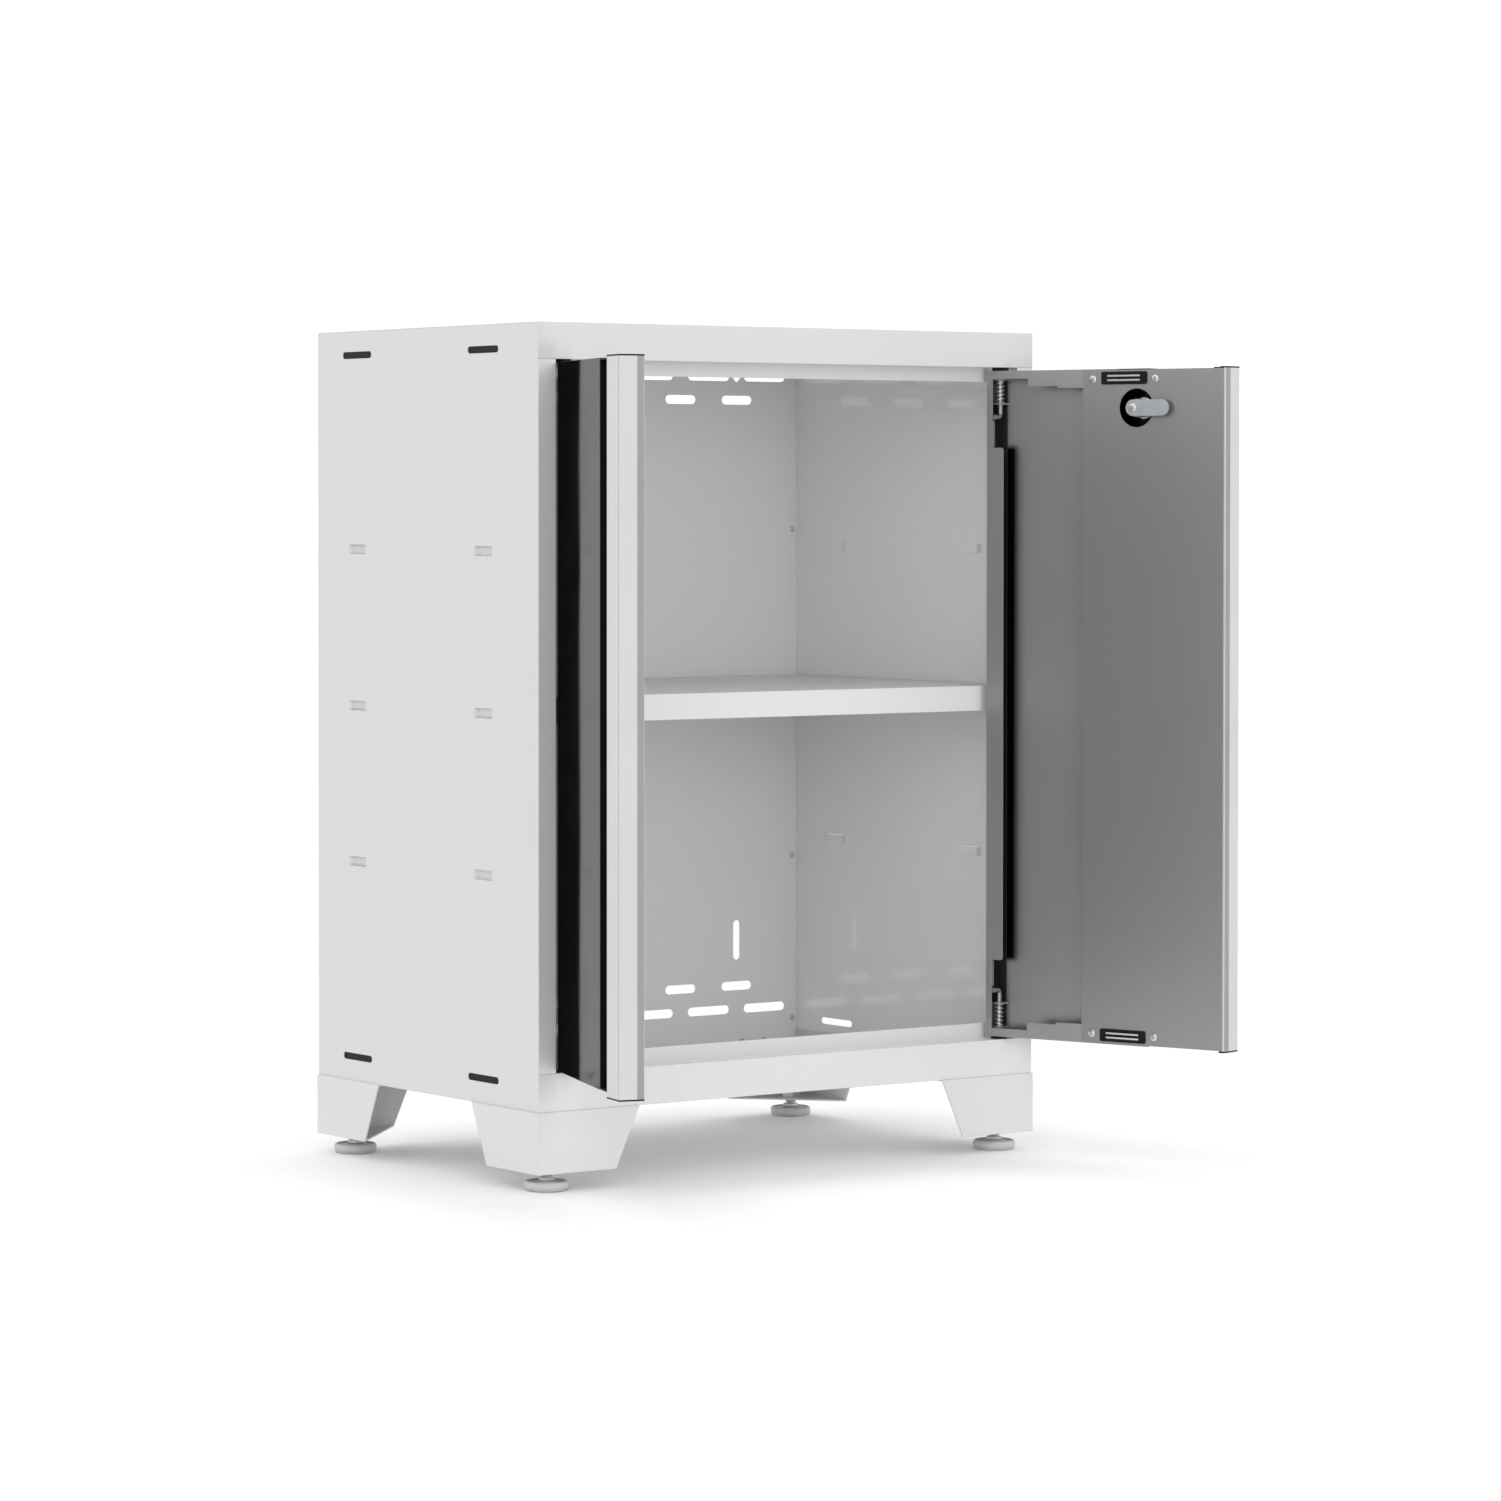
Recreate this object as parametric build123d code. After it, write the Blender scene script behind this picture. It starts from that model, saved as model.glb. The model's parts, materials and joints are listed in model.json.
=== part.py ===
from build123d import *
import os
from math import cos, pi, radians, sin

# Two-door steel base cabinet on corner legs with levelling feet. Millimetres.
# Modelling axes: X from the centre plane to the right, Y from the front face to the back, Z up
# from the floor. Every piece is moved along Y when it is written, so that the origin lies on the
# floor under the middle of the box that the cabinet and its open doors fill.

# ---- carcass -------------------------------------------------------------------------------
cabinet_width = 610.0
cabinet_depth = 406.0
carcass_height = 761.0
sheet = 1.0
stile_width = 20.0
rear_flange_width = 14.0
weld_flange_height = 12.0
stile_seam = 0.3
top_rail_height = 35.5
bottom_rail_height = 37.0
lip_setback = 22.0
top_lip_drop = 14.5
bottom_lip_rise = 15.5
lip_end_gap = 8.0

# ---- holes in the carcass -------------------------------------------------------------------
side_slot_length = 54.8
side_slot_width = 7.0
side_slot_inset_z = 24.5
tab_spacing_y = 233.0
tab_centre_y = 214.0
tab_length = 31.5
tab_height = 9.5
tab_depth = 3.5
tab_first_level = 223.7
tab_level_step = 158.2
tab_levels = 3
slot_pitch = 74.4
short_slot_length = 39.6
long_slot_length = 54.6
back_slot_width = 9.5
short_slot_inset_z = 62.8
long_slot_inset_z = 37.5
short_slot_columns = 3
long_slot_columns = 4
cable_slot_length = 43.0
cable_slot_width = 8.5
cable_slot_level = 112.6
hanging_notch_side = 9.0
rivet_radius = 1.6
rivet_head_radius = 3.2
rivet_head_height = 1.0
rivets_per_side = 5
hole_clearance = 0.1
cover_margin = 2.5
cover_thickness = 0.8

# ---- shelf ----------------------------------------------------------------------------------
shelf_front_y = 26.0
shelf_rear_gap = 2.0
shelf_side_gap = 1.5
shelf_lip_height = 25.6
shelf_side_flange = 12.6
shelf_return = 12.0
shelf_level_index = 1

# ---- legs and levelling feet ------------------------------------------------------------------
leg_height = 60.0
leg_top_width = 117.0
leg_bottom_width = 90.0
leg_sheet = 1.5
leg_proud = 1.2
foot_inset = 27.0
foot_gap = 9.5
pad_radius = 21.6
pad_height = 9.5
pad_edge_round = 2.0
pad_dish_depth = 1.5
pad_rim_width = 3.0
stud_radius = 6.0
stud_seat = 6.0
stud_top_slot_width = 1.6
stud_top_slot_depth = 3.0
stud_length = 54.0
stud_hex_across = 15.0
stud_hex_height = 3.5
plate_hole_radius = 6.6
weld_nut_across = 19.0
weld_nut_height = 10.0
running_clearance = 0.05
leg_bolt_row = 44.0
leg_bolt_near = 75.0
leg_bolt_spacing = 30.0
leg_bolt_radius = 3.0
leg_bolt_head_radius = 5.5
leg_bolt_head_height = 4.0
leg_bolt_standing = 9.0
leg_nut_across = 10.0
leg_nut_height = 5.0
bolt_hole_clearance = 0.2

# ---- doors ----------------------------------------------------------------------------------
door_thickness = 20.0
door_sheet = 0.9
door_top_gap = 3.5
door_bottom_gap = 3.0
door_centre_gap = 3.0
pivot_inset = 34.5
pivot_depth = 9.5
pivot_to_edge = 9.5
open_angle = 110.0
hinge_lip_narrow = 6.5
hinge_lip_wide = 19.5
hinge_lip_notch = 78.5
hem_depth = 4.0
hem_start = 51.0
corner_lip_height = 8.5
corner_lip_end = 48.5
middle_lip_height = 16.5
middle_lip_step = 30.0
inner_lip_height = 18.7
pan_width = 76.5
stiffener_sheet = 0.8
stiffener_leg = 13.3
stiffener_end_gap = 1.0

# ---- handle and finger channel ----------------------------------------------------------------
grip_width = 29.0
grip_proud = 8.9
tip_proud = 4.6
end_face_depth = 12.9
end_face_set = 0.8
inner_edge_set = 2.2
handle_wall = 2.0
handle_web_depth = 8.3
handle_web_length = 14.0
cap_thickness = 1.5
cap_overhang = 1.0
cap_inner_width = 6.0
channel_width = 60.0
channel_depth = 12.0
channel_wall = 1.5
seam = 0.2

# ---- magnetic catches ---------------------------------------------------------------------------
catch_margin = 28.5
catch_inset = 9.2
catch_length = 52.0
catch_height = 12.4
catch_body_depth = 9.0
catch_face_step = 0.4
catch_corner = 1.5
pole_length = 37.4
pole_thickness = 1.7
pole_spacing = 4.4
pole_depth = 8.0
magnet_gap = 0.2
catch_screw_spacing = 71.6
catch_screw_inset = 10.3
catch_screw_radius = 1.9
catch_screw_head_radius = 4.0
catch_screw_head_height = 1.8
catch_screw_length = 5.5
driver_recess_radius = 1.2

# ---- spring hinge pins ------------------------------------------------------------------------
pin_radius = 2.5
pin_engagement = 8.0
pin_tail_level = 47.3
pin_tail_reach = 11.0
pin_bend_radius = 4.5
bracket_sheet = 1.2
bracket_reach = 15.0
bracket_width = 14.0
upper_arm_level = 9.5
lower_arm_level = 33.0
collar_radius = 4.3
collar_height = 1.0
spring_wire = 1.6
spring_radius = 4.3
spring_turns = 5
bush_flange_radius = 8.5
bush_sleeve_radius = 4.2
bush_sleeve_length = 5.0
bush_door_gap = 0.3
pin_clearance = 0.08

# ---- cam lock in the right door ------------------------------------------------------------------
lock_margin = 14.5
lock_inset = 39.5
lock_window_radius = 19.5
barrel_radius = 9.0
barrel_flange_radius = 11.5
barrel_flange_height = 2.0
barrel_length = 19.0
lock_nut_radius = 10.8
lock_nut_height = 3.5
plug_radius = 6.4
plug_spigot_radius = 4.0
keyway_length = 7.0
keyway_width = 1.4
keyway_depth = 3.0
cam_level = 25.0
cam_width = 16.4
cam_reach = 40.8
cam_thickness = 2.5
cam_screw_head_radius = 4.4
cam_screw_head_height = 2.2
cam_screw_radius = 2.0
cam_screw_length = 8.0

# ---- levels and places that follow from the sizes above ---------------------------------------------
half_width = cabinet_width / 2
leg_bottom = pad_height + foot_gap
floor_level = leg_bottom + leg_height
top_level = floor_level + carcass_height
opening_bottom = floor_level + bottom_rail_height
opening_top = top_level - top_rail_height
door_bottom = opening_bottom + door_bottom_gap
door_top = opening_top - door_top_gap
door_height = door_top - door_bottom
door_length = half_width - (pivot_inset - pivot_to_edge) - door_centre_gap / 2
pivot_x = half_width - pivot_inset
lip_end = pivot_x - lip_end_gap
channel_start = door_length - grip_width - channel_width
pan_start = channel_start - pan_width
middle_lip_end = pan_start - middle_lip_step
catch_centre = channel_start - catch_margin
lock_centre = channel_start - lock_margin
bracket_start = door_sheet + stiffener_sheet
handle_bottom = cap_thickness - cap_overhang
handle_top = door_height - handle_bottom
tab_levels_z = [floor_level + tab_first_level + tab_level_step * n for n in range(tab_levels)]
shelf_seat = tab_levels_z[shelf_level_index] + tab_height / 2
shelf_top = shelf_seat + shelf_side_flange
grip_corner = (door_length - grip_width, -grip_proud)
tip_corner = (door_length, -tip_proud)
end_corner = (door_length - end_face_set, end_face_depth)
inner_corner = (door_length - inner_edge_set, door_thickness)
pan_end = inner_corner[0] - handle_wall - seam
pole_face = lip_setback - magnet_gap


# ---- helpers ------------------------------------------------------------------------------------
def block(x0, x1, y0, y1, z0, z1):
    """A box given by its two corners."""
    return Pos((x0 + x1) / 2, (y0 + y1) / 2, (z0 + z1) / 2) * Box(x1 - x0, y1 - y0, z1 - z0)


def rod(radius, start, end):
    """A round bar along X, Y or Z between two points."""
    start, end = Vector(*start), Vector(*end)
    return extrude(Plane(start, z_dir=end - start) * Circle(radius), (end - start).length)


def hexagon(across, start, height):
    """An upright hexagonal prism across its flats, standing on a point."""
    return Pos(*start) * extrude(RegularPolygon(across / 2, 6, major_radius=False), height)


def merge(pieces):
    """One solid made of pieces that touch or overlap."""
    whole = pieces[0]
    for piece in pieces[1:]:
        whole = whole + piece
    return whole


def mirrored(shape):
    """The same shape on the other side of the centre plane."""
    return mirror(shape, Plane.YZ)


def open_position(u, v):
    """Where a point of the closed left door comes to lie when that door stands open."""
    turn = radians(open_angle)
    du = u - pivot_to_edge
    dv = v - pivot_depth
    x = -pivot_x + du * cos(turn) + dv * sin(turn)
    y = pivot_depth - du * sin(turn) + dv * cos(turn)
    return x, y


door_reach = -min(open_position(u, v)[1] for u, v in (tip_corner, end_corner, inner_corner))
front_y = (door_reach - cabinet_depth - leg_proud) / 2


def save(name, pieces):
    """Writes one node, moved so that the origin is under the middle of the open cabinet."""
    pieces = pieces if isinstance(pieces, list) else [pieces]
    solids = [Pos(0, front_y, 0) * solid for piece in pieces for solid in piece.solids()]
    export_step(Compound(children=solids) if len(solids) > 1 else solids[0], f"parts/{name}.step")


# ---- carcass pieces ---------------------------------------------------------------------------------
def side_slot(y, z):
    """A long hole through the left side, with round ends, for joining cabinets side by side."""
    outline = Plane(origin=(-half_width, y, z), x_dir=(0, 1, 0), z_dir=(1, 0, 0))
    return extrude(outline * SlotOverall(side_slot_length, side_slot_width), sheet)


def slot_cover(y, z):
    """A flat blanking plate bonded behind a side slot."""
    inside = Plane(origin=(sheet - half_width, y, z), x_dir=(0, 1, 0), z_dir=(1, 0, 0))
    length = side_slot_length + 2 * cover_margin
    width = side_slot_width + 2 * cover_margin
    return extrude(inside * SlotOverall(length, width), cover_thickness)


def slot_places():
    """Places of the side slots, as Y and Z."""
    stations = [tab_centre_y - tab_spacing_y / 2, tab_centre_y + tab_spacing_y / 2]
    levels = [floor_level + side_slot_inset_z, top_level - side_slot_inset_z]
    return [(y, z) for y in stations for z in levels]


def shelf_tab(y, z):
    """A strip pressed inwards out of the left side, still joined to it at both ends."""
    half = tab_length / 2
    lean = sheet * 0.4
    points = [
        (0, -half),
        (tab_depth, -half + tab_depth),
        (tab_depth, half - tab_depth),
        (0, half),
        (sheet, half),
        (tab_depth + sheet, half - tab_depth + lean),
        (tab_depth + sheet, -half + tab_depth - lean),
        (sheet, -half),
    ]
    outline = Plane(origin=(-half_width, y, z - tab_height / 2))
    return extrude(outline * make_face(Polyline(*points, close=True)), tab_height)


def side_panel():
    """The left side: wall, front stile and rear flange, folded from one sheet."""
    outer = -half_width
    wall = block(outer, outer + sheet, sheet, cabinet_depth, floor_level + sheet, top_level - sheet)
    low, high = opening_bottom + stile_seam, opening_top - stile_seam
    stile = block(outer, outer + stile_width, 0, sheet, low, high)
    rear = block(
        outer, outer + rear_flange_width, cabinet_depth - sheet, cabinet_depth,
        floor_level + sheet, top_level - sheet,
    )
    panel = merge([wall, stile, rear])
    for y, z in slot_places():
        panel -= side_slot(y, z)
    for y in (tab_centre_y - tab_spacing_y / 2, tab_centre_y + tab_spacing_y / 2):
        for z in tab_levels_z:
            half = tab_length / 2
            window = block(
                outer, outer + sheet, y - half, y + half, z - tab_height / 2, z + tab_height / 2
            )
            panel = panel - window + shelf_tab(y, z)
    for z in rivet_levels():
        panel -= rivet_hole(z)
    return panel


def rivet_levels():
    """Heights of the rivets that hold the back panel, evenly spaced."""
    low = floor_level + 2 * weld_flange_height
    high = top_level - 2 * weld_flange_height
    return [low + (high - low) * n / (rivets_per_side - 1) for n in range(rivets_per_side)]


def rivet_hole(z):
    """A hole for one rivet through the left rear flange and the back panel."""
    x = -half_width + rear_flange_width / 2
    start = cabinet_depth - 3 * sheet
    return rod(rivet_radius + hole_clearance, (x, start, z), (x, cabinet_depth + sheet, z))


def back_slot(x, z, length):
    """A level slot with round ends through the back panel."""
    outline = Plane(origin=(x, cabinet_depth, z), x_dir=(1, 0, 0), z_dir=(0, -1, 0))
    return extrude(outline * SlotOverall(length, back_slot_width), 3 * sheet)


def back_panel():
    """The flat back, held in front of the rear flanges, with its rows of staggered slots."""
    inner = half_width - sheet
    front, rear = cabinet_depth - 2 * sheet, cabinet_depth - sheet
    panel = block(-inner, inner, front, rear, floor_level + sheet, top_level - sheet)
    for z in (floor_level + short_slot_inset_z, top_level - short_slot_inset_z):
        for n in range(-short_slot_columns, short_slot_columns + 1):
            panel -= back_slot(slot_pitch * n, z, short_slot_length)
    for z in (floor_level + long_slot_inset_z, top_level - long_slot_inset_z):
        for n in range(-long_slot_columns, long_slot_columns):
            panel -= back_slot(slot_pitch * (n + 0.5), z, long_slot_length)
    for side in (-1, 1):
        x = side * slot_pitch * short_slot_columns
        cable_centre = (x, rear, floor_level + cable_slot_level)
        upright = Plane(origin=cable_centre, x_dir=(0, 0, 1), z_dir=(0, -1, 0))
        panel -= extrude(upright * SlotOverall(cable_slot_length, cable_slot_width), sheet)
        notch_centre = (x, rear, top_level - long_slot_inset_z)
        notch = Plane(origin=notch_centre, x_dir=(1, 0, 1), z_dir=(0, -1, 0))
        panel -= extrude(notch * Rectangle(hanging_notch_side, hanging_notch_side), sheet)
    for z in rivet_levels():
        panel = panel - rivet_hole(z) - mirrored(rivet_hole(z))
    return panel


def back_rivets():
    """Blind rivets through the rear flanges and the back panel, a head on each side."""
    x = -half_width + rear_flange_width / 2
    rivets = []
    for z in rivet_levels():
        inside = cabinet_depth - 2 * sheet
        rivet = merge([
            rod(rivet_radius, (x, inside, z), (x, cabinet_depth, z)),
            rod(rivet_head_radius, (x, cabinet_depth, z), (x, cabinet_depth + rivet_head_height, z)),
            rod(rivet_head_radius, (x, inside - rivet_head_height, z), (x, inside, z)),
        ])
        rivets += [rivet, mirrored(rivet)]
    return rivets


def bush_hole(z):
    """The hole in a ledge that holds the left door's pin bush."""
    return rod(
        bush_sleeve_radius + hole_clearance,
        (-pivot_x, pivot_depth, z - 2 * sheet), (-pivot_x, pivot_depth, z + 2 * sheet),
    )


def top_panel():
    """Top sheet with its front folded down as rail, ledge and door stop, and side weld flanges."""
    inner = half_width - sheet
    stop = lip_setback + sheet
    panel = merge([
        block(-half_width, half_width, 0, cabinet_depth, top_level - sheet, top_level),
        block(-half_width, half_width, 0, sheet, opening_top, top_level),
        block(-inner, inner, 0, stop, opening_top, opening_top + sheet),
        block(-lip_end, lip_end, lip_setback, stop, opening_top - top_lip_drop, opening_top + sheet),
    ])
    flange = block(
        -inner, -inner + sheet, stop, cabinet_depth - 3 * sheet, top_level - weld_flange_height, top_level
    )
    hole = bush_hole(opening_top)
    return merge([panel, flange, mirrored(flange)]) - hole - mirrored(hole)


def bottom_panel():
    """Floor sheet with its front folded up as rail, ledge and door stop, and side weld flanges."""
    inner = half_width - sheet
    stop = lip_setback + sheet
    panel = merge([
        block(-half_width, half_width, 0, cabinet_depth, floor_level, floor_level + sheet),
        block(-half_width, half_width, 0, sheet, floor_level, opening_bottom),
        block(-inner, inner, 0, stop, opening_bottom - sheet, opening_bottom),
        block(
            -lip_end, lip_end, lip_setback, stop,
            opening_bottom - sheet, opening_bottom + bottom_lip_rise,
        ),
    ])
    flange = block(
        -inner, -inner + sheet, stop, cabinet_depth - 3 * sheet, floor_level, floor_level + weld_flange_height
    )
    panel = merge([panel, flange, mirrored(flange)])
    hole = bush_hole(opening_bottom)
    panel = panel - hole - mirrored(hole)
    for x, y in leg_bolt_places():
        panel -= bolt_hole(x, y, floor_level, sheet)
    return panel


def hinge_bushes():
    """Flanged nylon bushes in the ledges; the door pins turn in them and the doors stand on them."""
    bushes = []
    for ledge, outward, gap in ((opening_top, 1, door_top_gap), (opening_bottom, -1, door_bottom_gap)):
        at = (-pivot_x, pivot_depth)
        face = ledge - outward * (gap - bush_door_gap)
        end = ledge + outward * bush_sleeve_length
        bush = merge([
            rod(bush_flange_radius, (*at, ledge), (*at, face)),
            rod(bush_sleeve_radius, (*at, ledge), (*at, end)),
        ])
        bush -= rod(pin_radius + pin_clearance, (*at, face), (*at, end))
        bushes += [bush, mirrored(bush)]
    return bushes


# ---- shelf ----------------------------------------------------------------------------------------
def shelf():
    """Steel shelf with deep front and rear lips; its side flanges rest on the pressed-in tabs."""
    half = half_width - sheet - shelf_side_gap
    front, rear = shelf_front_y, cabinet_depth - 2 * sheet - shelf_rear_gap
    low = shelf_top - shelf_lip_height
    side = block(-half, -half + sheet, front, rear, shelf_seat, shelf_top)
    return merge([
        block(-half, half, front, rear, shelf_top - sheet, shelf_top),
        block(-half, half, front, front + sheet, low, shelf_top),
        block(-half, half, rear - sheet, rear, low, shelf_top),
        block(-half, half, front, front + shelf_return, low, low + sheet),
        block(-half, half, rear - shelf_return, rear, low, low + sheet),
        side,
        mirrored(side),
    ])


# ---- legs and feet ----------------------------------------------------------------------------------
def corner_copies(shape):
    """The front left shape and its copies at the three other corners, by corner name."""
    rear = Plane(origin=(0, cabinet_depth / 2, 0), z_dir=(0, 1, 0))
    return {
        "front_left": shape,
        "front_right": mirrored(shape),
        "rear_left": mirror(shape, rear),
        "rear_right": mirror(mirrored(shape), rear),
    }


def leg_bolt_offsets():
    """Places of one leg's bolts, measured from its outer corner."""
    far = leg_bolt_near + leg_bolt_spacing
    near = leg_bolt_near
    row = leg_bolt_row
    return [(far, row), (near, row), (row, near), (row, far)]


def leg_bolt_places():
    """Places of all leg bolts on the floor panel."""
    places = []
    for dx, dy in leg_bolt_offsets():
        for x in (-half_width + dx, half_width - dx):
            for y in (dy, cabinet_depth - dy):
                places.append((x, y))
    return places


def bolt_hole(x, y, z, thickness):
    """A clearance hole for a leg bolt, upwards through a sheet."""
    return rod(leg_bolt_radius + bolt_hole_clearance, (x, y, z), (x, y, z + thickness))


def leg_face():
    """The left face of the front left leg: a sheet that narrows towards the floor."""
    outer = -half_width - leg_proud
    points = [
        (-leg_proud, leg_bottom),
        (leg_bottom_width, leg_bottom),
        (leg_top_width, floor_level),
        (-leg_proud, floor_level),
    ]
    outline = Plane(origin=(outer, 0, 0), x_dir=(0, 1, 0), z_dir=(1, 0, 0))
    return extrude(outline * make_face(Polyline(*points, close=True)), leg_sheet)


def leg():
    """Front left corner leg: two tapered faces, a foot plate below and a bolting plate above."""
    corner = -half_width - leg_proud
    left = leg_face()
    swap = Plane(origin=(-half_width, 0, 0), z_dir=(1, -1, 0))
    front = mirror(left, swap)
    far = leg_bottom_width - leg_sheet
    plate_outline = Plane(origin=(0, 0, leg_bottom)) * make_face(
        Polyline(
            (corner, -leg_proud),
            (-half_width + far, -leg_proud),
            (-half_width + far, leg_sheet),
            (-half_width + leg_sheet, far),
            (corner, far),
            close=True,
        )
    )
    foot_plate = extrude(plate_outline, leg_sheet)
    wide = leg_top_width - leg_sheet
    bolt_plate = block(corner, -half_width + wide, -leg_proud, wide, floor_level - leg_sheet, floor_level)
    whole = merge([left, front, foot_plate, bolt_plate])
    whole -= rod(
        plate_hole_radius,
        (-half_width + foot_inset, foot_inset, leg_bottom),
        (-half_width + foot_inset, foot_inset, leg_bottom + leg_sheet),
    )
    for dx, dy in leg_bolt_offsets():
        whole -= bolt_hole(-half_width + dx, dy, floor_level - leg_sheet, leg_sheet)
    return whole


def leg_bolts():
    """Bolts up through each leg's plate and the floor panel, heads inside the legs."""
    under = floor_level - leg_sheet
    tip = floor_level + sheet + leg_bolt_standing
    return [
        rod(leg_bolt_head_radius, (x, y, under - leg_bolt_head_height), (x, y, under))
        + rod(leg_bolt_radius, (x, y, under), (x, y, tip))
        for x, y in leg_bolt_places()
    ]


def leg_nuts():
    """Hexagon nuts on the floor panel, one on each leg bolt."""
    seat = floor_level + sheet
    return [
        hexagon(leg_nut_across, (x, y, seat), leg_nut_height)
        - rod(leg_bolt_radius + running_clearance, (x, y, seat), (x, y, seat + leg_nut_height))
        for x, y in leg_bolt_places()
    ]


def weld_nut():
    """The threaded nut welded inside the front left leg that the levelling foot screws into."""
    at = (-half_width + foot_inset, foot_inset)
    seat = leg_bottom + leg_sheet
    bore = rod(stud_radius + running_clearance, (*at, seat), (*at, seat + weld_nut_height))
    return hexagon(weld_nut_across, (*at, seat), weld_nut_height) - bore


def foot_pad():
    """The round plastic pad of the front left foot, with a shallow dish around its stud."""
    at = (-half_width + foot_inset, foot_inset)
    pad = Pos(*at, pad_height / 2) * Cylinder(pad_radius, pad_height)
    pad = fillet(pad.edges().filter_by(GeomType.CIRCLE), pad_edge_round)
    dish = rod(pad_radius - pad_rim_width, (*at, pad_height - pad_dish_depth), (*at, pad_height))
    hub = rod(stud_hex_across / 2 + pad_dish_depth, (*at, pad_height - pad_dish_depth), (*at, pad_height))
    socket = rod(stud_radius + running_clearance, (*at, stud_seat), (*at, pad_height))
    return pad - (dish - hub) - socket


def foot_stud():
    """The threaded stud of the front left foot, with a hexagon to turn it and a slotted top."""
    at = (-half_width + foot_inset, foot_inset)
    top = stud_seat + stud_length
    stud = rod(stud_radius, (*at, stud_seat), (*at, top))
    stud += hexagon(stud_hex_across, (*at, pad_height), stud_hex_height)
    slot = block(
        at[0] - stud_radius, at[0] + stud_radius,
        at[1] - stud_top_slot_width / 2, at[1] + stud_top_slot_width / 2,
        top - stud_top_slot_depth, top,
    )
    return stud - slot


# ---- doors, drawn as the left door, closed -------------------------------------------------------------
# In these functions u runs from the hinge edge to the free edge, v from the outer face into the
# cabinet, and w up from the bottom of the door.
def hang(shape, side):
    """Puts a piece of the closed left door in its place on the left or right door, standing open."""
    placed = Pos(-half_width + pivot_inset - pivot_to_edge, 0, door_bottom) * shape
    pivot = Axis((-pivot_x, pivot_depth, 0), (0, 0, 1))
    placed = placed.rotate(pivot, -open_angle)
    return placed if side == "left" else mirrored(placed)


def both_ends(shape):
    """A piece near the bottom of the door and its copy, upside down, near the top."""
    return [shape, mirror(shape, Plane(origin=(0, 0, door_height / 2), z_dir=(0, 0, 1)))]


def end_walls():
    """The folded lower edge of the skin: a wall across the thickness and its stepped return lip."""
    t = door_sheet
    inside = door_thickness - t
    steps = [
        (t, corner_lip_end, corner_lip_height),
        (corner_lip_end, middle_lip_end, middle_lip_height),
        (middle_lip_end, pan_start, inner_lip_height),
    ]
    walls = [block(0, channel_start, 0, door_thickness, 0, t)]
    walls += [block(start, end, inside, door_thickness, 0, height) for start, end, height in steps]
    return merge(walls)


def pin_hole(start, end):
    """Room for the hinge pin along its axis."""
    at = (pivot_to_edge, pivot_depth)
    return rod(pin_radius + pin_clearance, (*at, start), (*at, end))


def door_skin(locked):
    """The outer sheet: face, hinge edge with its return lip, both ends and the channel edge."""
    t = door_sheet
    inside = door_thickness - t
    lip = block(0, hinge_lip_narrow, inside, door_thickness, 0, door_height)
    notch = hinge_lip_notch
    wide = block(0, hinge_lip_wide, inside, door_thickness, notch, door_height - notch)
    wide = fillet(wide.edges().filter_by(Axis.Y).group_by(Axis.X)[-1], 3)
    hem = block(hinge_lip_narrow - t, hinge_lip_narrow, inside - hem_depth, inside, hem_start, notch)
    skin = merge([
        block(0, channel_start, 0, t, 0, door_height),
        block(0, t, 0, door_thickness, 0, door_height),
        block(channel_start - t, channel_start, 0, channel_depth - channel_wall, 0, door_height),
        lip,
        wide,
        *both_ends(hem),
        *both_ends(end_walls()),
    ])
    for hole in both_ends(pin_hole(-t, 2 * t)):
        skin -= hole
    if locked:
        skin -= lock_hole(barrel_radius + hole_clearance, -t, 2 * t)
    return skin


def lock_hole(radius, start, end):
    """A round hole along the lock's axis."""
    level = door_height - lock_inset
    return rod(radius, (lock_centre, start, level), (lock_centre, end, level))


def pan_end_wall():
    """The lower wall of the inner pan, shallower where it passes the finger channel."""
    t = door_sheet
    return merge([
        block(pan_start, channel_start - t, t, door_thickness, t, 2 * t),
        block(channel_start - t, pan_end, channel_depth + seam, door_thickness, t, 2 * t),
    ])


def door_pan(locked):
    """The inner sheet: a shallow tray that carries the catches and stiffens the free edge."""
    t = door_sheet
    inside = door_thickness - t
    pan = merge([
        block(pan_start, pan_end, inside, door_thickness, t, door_height - t),
        block(pan_start, pan_start + t, t, door_thickness, t, door_height - t),
        block(pan_end - t, pan_end, channel_depth + seam, door_thickness, t, door_height - t),
        *both_ends(pan_end_wall()),
    ])
    for window in both_ends(catch_block(inside - t, door_thickness + t, hole_clearance)):
        pan -= window
    for u in catch_screw_places():
        level = catch_screw_inset
        hole = rod(catch_screw_radius + hole_clearance, (u, inside, level), (u, door_thickness, level))
        for copy in both_ends(hole):
            pan -= copy
    if locked:
        pan -= lock_hole(lock_window_radius, inside, door_thickness)
    return pan


def hinge_stiffener():
    """A full-height angle in the hinge edge: one leg on the edge wall, the other on the skin."""
    t = door_sheet
    low, high = t + stiffener_end_gap, door_height - t - stiffener_end_gap
    on_edge = block(t, bracket_start, t, door_thickness - t - hem_depth, low, high)
    return on_edge + block(t, stiffener_leg, t, bracket_start, low, high)


def finger_channel():
    """The black moulded trough beside the handle, with closed ends."""
    start = channel_start + seam
    end = pan_end
    low, high = handle_bottom, handle_top
    floor = block(start, end, channel_depth - channel_wall, channel_depth, low, high)
    near = block(start, start + channel_wall, 0, channel_depth, low, high)
    under_grip = block(end - channel_wall, end, 0, channel_depth, low, high)
    closing = block(start, end, 0, channel_depth, low, low + channel_wall)
    trough = merge([floor, near, under_grip, *both_ends(closing)])
    web = block(
        door_length - handle_wall - handle_web_length, door_length, handle_web_depth - seam,
        handle_web_depth + handle_wall + seam, -channel_wall, door_height + channel_wall,
    )
    return trough - web


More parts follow.
